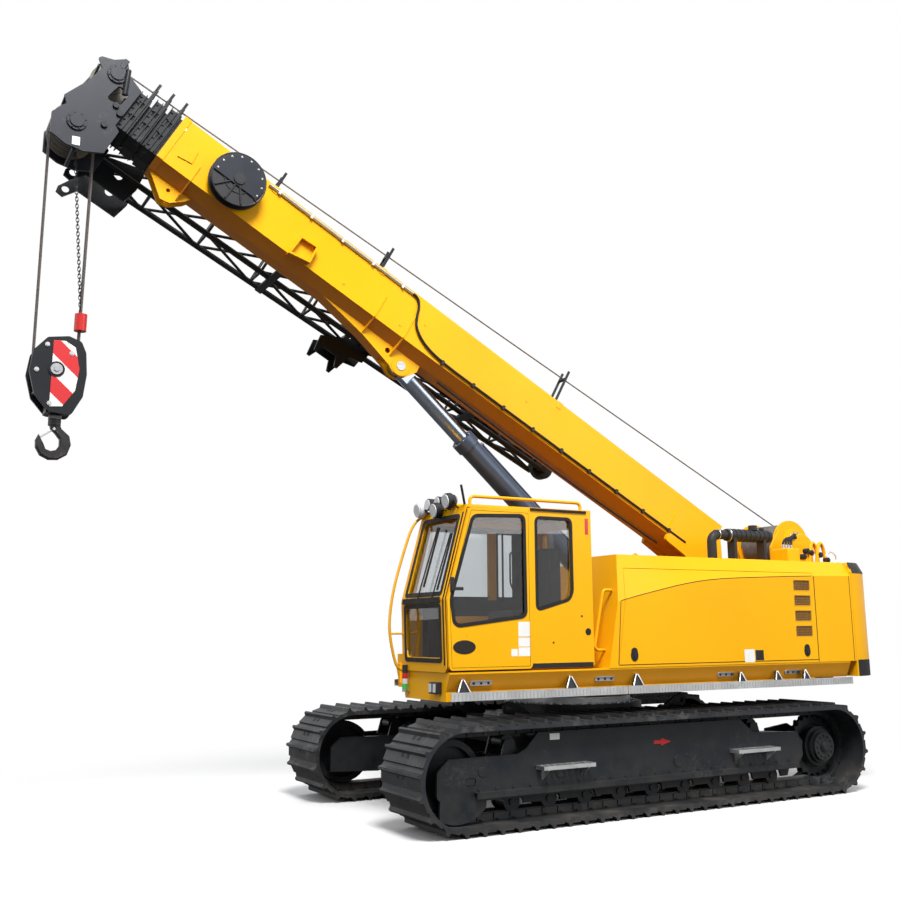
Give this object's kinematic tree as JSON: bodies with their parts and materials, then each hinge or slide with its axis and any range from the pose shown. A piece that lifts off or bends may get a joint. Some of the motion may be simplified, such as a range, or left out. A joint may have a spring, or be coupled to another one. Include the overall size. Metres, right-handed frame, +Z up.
{
  "type": "telescopic crawler crane",
  "caption": "Tracked crane with a slewing upper works, side cab, telescoping box boom raised by one cylinder, stowed lattice jib and hook block.",
  "frame": {"origin": "on the ground below the slewing axis, midway between the tracks", "axes": "+X forward along the boom, +Y to the driver's side, +Z up"},
  "size_m": [9.4038, 3.2, 7.2182],
  "materials": {
    "track": "worn dark steel shoes",
    "undercarriage_paint": "blue-black gloss paint",
    "machined_steel": "machined steel",
    "galvanised": "bare ribbed metal",
    "body_yellow": "golden yellow gloss paint",
    "engine_iron": "cast iron block",
    "glass": "lightly tinted glazing",
    "seat": "dark woven seat",
    "trim_plastic": "black moulded plastic",
    "boom_black": "satin black paint",
    "sheave_nylon": "cast nylon",
    "cylinder_grey": "blue-grey paint",
    "signal_red": "red paint",
    "hook_iron": "forged black hook"
  },
  "bodies": {
    "undercarriage": {"track_loop_left": "track", "track_loop_right": "track", "track_frame_left": "undercarriage_paint", "track_frame_right": "undercarriage_paint", "drive_sprockets": "undercarriage_paint", "idlers": "undercarriage_paint", "track_rollers": "undercarriage_paint", "carrier_rollers": "undercarriage_paint", "carbody": "undercarriage_paint", "slew_ring_lower": "machined_steel", "track_steps": "galvanised"},
    "upper": {"slew_frame": "body_yellow", "air_filter": "trim_plastic", "boom_foot_pin": "machined_steel", "cylinder_foot_pin": "machined_steel", "walkways": "galvanised", "counterweight": "body_yellow", "housing_left": "body_yellow", "housing_right": "body_yellow", "engine": "engine_iron", "fuel_tank": "body_yellow", "front_deck": "body_yellow", "cab_shell": "body_yellow", "cab_glass": "glass", "operator_seat": "seat", "control_console": "trim_plastic", "cab_rails": "body_yellow", "front_guard": "body_yellow", "work_lamps": "trim_plastic", "winch_cradle": "body_yellow"},
    "cab_door": {"cab_door": "body_yellow", "cab_door_glass": "glass"},
    "service_door_left": {"service_door_left": "body_yellow"},
    "service_door_right": {"service_door_right": "body_yellow"},
    "winch_drum": {"winch_drum": "machined_steel"},
    "boom_base": {"boom_base": "body_yellow", "cylinder_top_pin": "machined_steel", "rope_guides": "boom_black", "lattice_jib": "boom_black", "jib_brackets": "boom_black"},
    "cable_reel": {"cable_reel": "trim_plastic"},
    "boom_section_1": {"boom_section_1": "boom_black"},
    "boom_section_2": {"boom_section_2": "boom_black"},
    "boom_tip": {"boom_section_3": "boom_black", "boom_head": "boom_black", "head_pins": "machined_steel"},
    "lower_sheaves": {"lower_sheaves": "sheave_nylon"},
    "upper_sheave": {"upper_sheave": "sheave_nylon"},
    "lift_rod": {"lift_rod": "machined_steel"},
    "lift_barrel": {"lift_barrel": "cylinder_grey"},
    "hanging_falls": {"limit_weight": "signal_red"},
    "hook_block": {"hook_block": "boom_black"},
    "hook": {"hook": "hook_iron"}
  },
  "joints": [
    {"name": "slew", "type": "hinge", "parent": "undercarriage", "child": "upper", "pos_m": [0, 0, 1.063], "axis": [0, 0, 1], "continuous": true},
    {"name": "luff", "type": "hinge", "parent": "upper", "child": "boom_base", "pos_m": [-2.003, 0, 2.322], "axis": [0, -1, 0], "range_deg": [-29.8, 49.2]},
    {"name": "telescope_1", "type": "slide", "parent": "boom_base", "child": "boom_section_1", "axis": [0.8763, 0, 0.4818], "range_m": [0, 6.4]},
    {"name": "telescope_2", "type": "slide", "parent": "boom_section_1", "child": "boom_section_2", "axis": [0.8763, 0, 0.4818], "range_m": [0, 6.4]},
    {"name": "telescope_3", "type": "slide", "parent": "boom_section_2", "child": "boom_tip", "axis": [0.8763, 0, 0.4818], "range_m": [0, 6.4]},
    {"name": "rod_pivot", "type": "hinge", "parent": "boom_base", "child": "lift_rod", "pos_m": [2.198, 0, 4.54023], "axis": [0, -1, 0], "range_deg": [-0.79, 0.5]},
    {"name": "barrel_slide", "type": "slide", "parent": "lift_rod", "child": "lift_barrel", "axis": [-0.7458, 0, -0.6661], "range_m": [-0.5585, 0.9208]},
    {"name": "falls_hang", "type": "hinge", "parent": "boom_tip", "child": "hanging_falls", "pos_m": [5.63947, 0, 6.4379], "axis": [0, -1, 0], "range_deg": [-49.3, 29.9]},
    {"name": "hoist", "type": "slide", "parent": "hanging_falls", "child": "hook_block", "axis": [0, 0, 1], "range_m": [-3.2, 0.06]},
    {"name": "hook_swivel", "type": "hinge", "parent": "hook_block", "child": "hook", "pos_m": [5.60447, 0, 3.6], "axis": [0, 0, 1], "continuous": true},
    {"name": "lower_sheaves_spin", "type": "hinge", "parent": "boom_tip", "child": "lower_sheaves", "pos_m": [5.63947, 0, 6.4379], "axis": [0, 1, 0], "continuous": true},
    {"name": "upper_sheave_spin", "type": "hinge", "parent": "boom_tip", "child": "upper_sheave", "pos_m": [5.30815, 0, 7.00321], "axis": [0, 1, 0], "continuous": true},
    {"name": "winch_spin", "type": "hinge", "parent": "upper", "child": "winch_drum", "pos_m": [-3.23, 0, 2.8], "axis": [0, 1, 0], "continuous": true},
    {"name": "cable_reel_spin", "type": "hinge", "parent": "boom_base", "child": "cable_reel", "pos_m": [4.11896, 0.31, 6.14404], "axis": [0, 1, 0], "continuous": true},
    {"name": "cab_door_slide", "type": "slide", "parent": "upper", "child": "cab_door", "axis": [-1, 0, 0], "range_m": [0, 0.69]},
    {"name": "service_door_left_lift", "type": "hinge", "parent": "upper", "child": "service_door_left", "pos_m": [-1, 1.416, 2.362], "axis": [1, 0, 0], "range_deg": [0, 80]},
    {"name": "service_door_right_lift", "type": "hinge", "parent": "upper", "child": "service_door_right", "pos_m": [-1.4, -1.416, 2.362], "axis": [-1, 0, 0], "range_deg": [0, 80]}
  ],
  "couplings": [
    {"joint": "telescope_2", "follows": "telescope_1", "ratio": 1},
    {"joint": "telescope_3", "follows": "telescope_1", "ratio": 1},
    {"joint": "rod_pivot", "follows": "luff", "ratio": -0.015},
    {"joint": "barrel_slide", "follows": "luff", "m_per_rad": 1.07},
    {"joint": "falls_hang", "follows": "luff", "ratio": -1}
  ]
}
